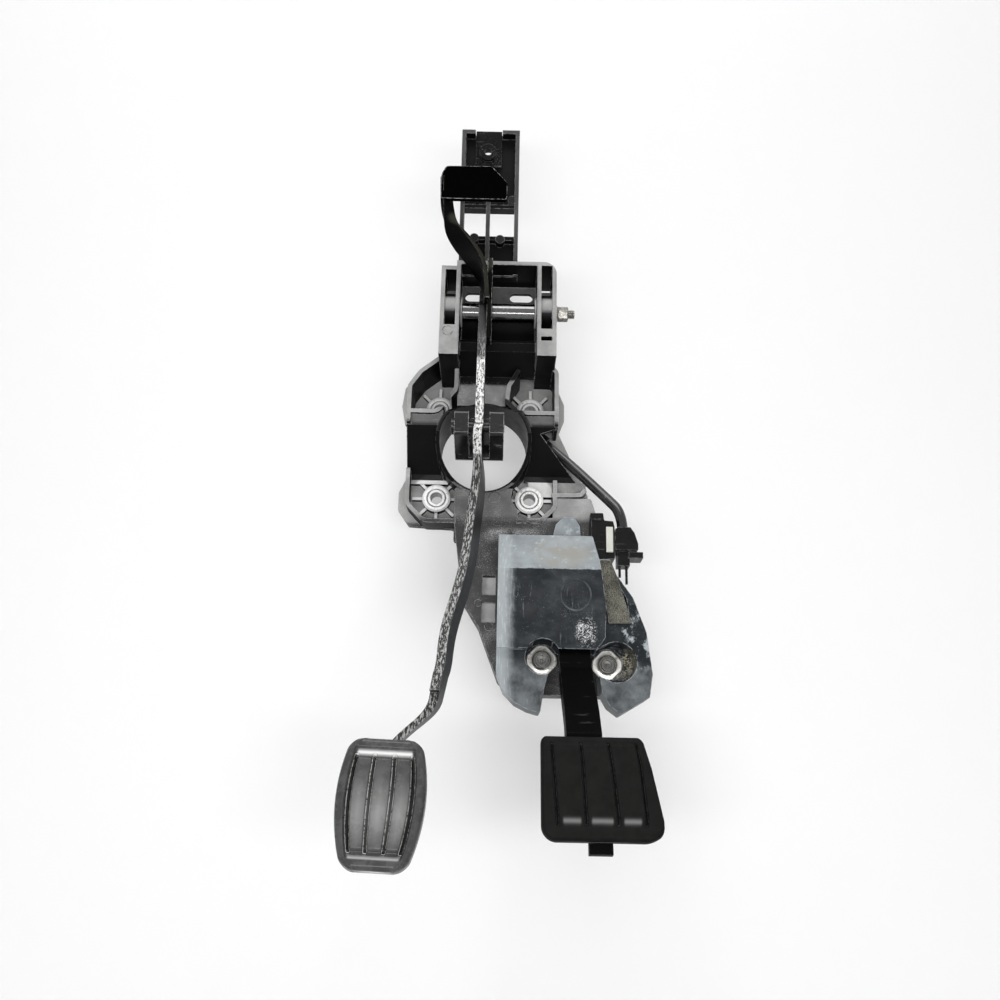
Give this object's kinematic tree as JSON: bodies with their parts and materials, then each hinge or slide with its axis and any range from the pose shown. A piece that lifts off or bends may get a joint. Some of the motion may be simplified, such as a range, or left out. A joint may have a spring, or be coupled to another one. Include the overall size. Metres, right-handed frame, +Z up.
{
  "type": "car pedal assembly",
  "caption": "Hanging brake and accelerator pedals in one moulded bracket: steel brake lever on a cross bolt, rubber pads, electronic accelerator module with its plug and lead.",
  "frame": {"origin": "centre of the four stud holes and of the servo opening, on the bracket's bulkhead face", "axes": "+X to the driver's right, +Y forwards to the bulkhead, +Z up"},
  "size_m": [0.1985, 0.1677, 0.5625],
  "materials": {
    "bracket_plastic": "glass-filled black plastic, dusty and worn on its edges",
    "zinc_steel": "zinc-plated steel",
    "dark_steel": "black coated spring steel",
    "module_plastic": "dusty blue-grey plastic",
    "lid_plastic": "textured olive-grey plastic",
    "socket_plastic": "satin black plastic",
    "lock_plastic": "off-white plastic",
    "lead_sheath": "black corrugated sheath",
    "circuit_board": "green coated board",
    "pedal_steel": "black painted steel, worn bright on the front edge",
    "bush_plastic": "dark bearing plastic",
    "spring_steel": "drawn spring steel",
    "pad_rubber": "ribbed black rubber",
    "clip_plastic": "glossy black plastic",
    "arm_plastic": "smooth black plastic",
    "inner_plastic": "natural bearing plastic"
  },
  "bodies": {
    "bracket": {"pedal_bracket": "bracket_plastic", "mounting_sleeves": "zinc_steel", "pivot_bolt": "zinc_steel", "pivot_nut": "zinc_steel", "pivot_spacer": "zinc_steel", "top_clip_nut": "dark_steel", "accel_base": "module_plastic", "accel_cover": "module_plastic", "accel_mount_bolts": "zinc_steel", "accel_captive_nuts": "zinc_steel", "accel_pivot_pin": "zinc_steel", "accel_return_springs": "spring_steel", "sensor_board": "circuit_board", "sensor_cover": "lid_plastic", "sensor_socket": "socket_plastic", "sensor_plug": "socket_plastic", "sensor_lead": "lead_sheath", "lead_end_connector": "socket_plastic"},
    "brake_pedal": {"brake_arm": "pedal_steel", "brake_upper_lever": "pedal_steel", "brake_hub_tube": "pedal_steel", "brake_bushes": "bush_plastic", "pushrod_pin": "zinc_steel", "brake_pad_plate": "pedal_steel", "brake_pad": "pad_rubber"},
    "pushrod_clip": {"pushrod_clip": "clip_plastic"},
    "accelerator_pedal": {"accel_arm": "arm_plastic", "accel_pad": "pad_rubber", "magnet_rotor": "inner_plastic", "friction_shoe": "inner_plastic"},
    "plug_lock": {"plug_lock": "lock_plastic"}
  },
  "joints": [
    {"name": "brake_pivot", "type": "hinge", "parent": "bracket", "child": "brake_pedal", "pos_m": [0, -0.05, 0.103], "axis": [1, 0, 0], "range_deg": [0, 15], "stiffness_Nm_per_rad": 8, "springref_deg": -28.65},
    {"name": "clip_swivel", "type": "hinge", "parent": "brake_pedal", "child": "pushrod_clip", "pos_m": [-0.0026, -0.078, -0.004], "axis": [1, 0, 0], "range_deg": [-8, 8]},
    {"name": "accel_pivot", "type": "hinge", "parent": "bracket", "child": "accelerator_pedal", "pos_m": [0.068, -0.044, -0.118], "axis": [1, 0, 0], "range_deg": [0, 17], "stiffness_Nm_per_rad": 3.5, "springref_deg": -34.38, "deforming": ["accel_return_springs"]},
    {"name": "lock_slide", "type": "slide", "parent": "bracket", "child": "plug_lock", "axis": [0, 0, 1], "range_m": [0, 0.003]}
  ]
}
